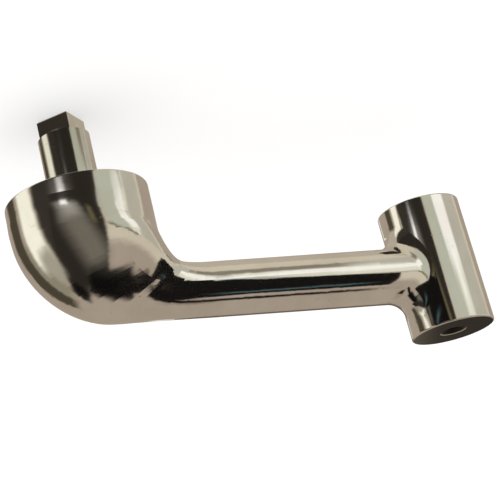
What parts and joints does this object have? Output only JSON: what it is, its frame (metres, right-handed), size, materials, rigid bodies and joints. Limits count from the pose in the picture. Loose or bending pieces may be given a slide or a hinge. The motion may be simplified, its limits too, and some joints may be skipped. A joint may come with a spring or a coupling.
{
  "type": "winch handle",
  "caption": "Polished winch handle: a bowl hub with a ratcheting square drive spindle, a round crank arm, and an end boss tapped for a grip.",
  "frame": {"origin": "centre of the hub's rim plane on the drive axis", "axes": "+Z along the drive axis away from the drive square, +X along the crank arm towards the grip boss"},
  "size_m": [0.2626, 0.0722, 0.1317],
  "materials": {
    "polished_casting": "mirror polished",
    "polished_spindle": "mirror polished",
    "hardened_steel": "machined",
    "key_steel": "machined",
    "spring_steel": "oiled",
    "pawl_steel": "ground",
    "spring_wire": "drawn",
    "pin_steel": "ground",
    "bearing_bronze": "machined",
    "cover_plate": "turned",
    "gasket_fibre": "matte",
    "seal_rubber": "matte",
    "screw_steel": "bright"
  },
  "bodies": {
    "casting": {"arm_casting": "polished_casting", "pawl_pin_a": "pin_steel", "pawl_pin_b": "pin_steel", "pawl_spacer_a": "bearing_bronze", "pawl_spacer_b": "bearing_bronze", "lower_thrust_washer": "bearing_bronze", "upper_thrust_washer": "bearing_bronze", "lower_bush": "bearing_bronze", "upper_bush": "bearing_bronze", "hub_cover": "cover_plate", "cover_gasket": "gasket_fibre", "spindle_seal": "seal_rubber", "cover_screws": "screw_steel"},
    "spindle": {"drive_spindle": "polished_spindle", "ratchet_wheel": "hardened_steel", "drive_keys": "key_steel", "wheel_circlip": "spring_steel"},
    "pawl_a": {"pawl_a": "pawl_steel", "pawl_spring_a": "spring_wire"},
    "pawl_b": {"pawl_b": "pawl_steel", "pawl_spring_b": "spring_wire"}
  },
  "joints": [
    {"name": "spindle_spin", "type": "hinge", "parent": "casting", "child": "spindle", "pos_m": [0, 0, 0], "axis": [0, 0, 1], "continuous": true},
    {"name": "pawl_a_tilt", "type": "hinge", "parent": "casting", "child": "pawl_a", "pos_m": [0, 0.0232, 0.015], "axis": [0, 0, 1], "range_deg": [0, 14], "stiffness_Nm_per_rad": 0.02, "springref_deg": -11.46},
    {"name": "pawl_b_tilt", "type": "hinge", "parent": "casting", "child": "pawl_b", "pos_m": [0, -0.0232, 0.015], "axis": [0, 0, 1], "range_deg": [0, 14], "stiffness_Nm_per_rad": 0.02, "springref_deg": -11.46}
  ]
}
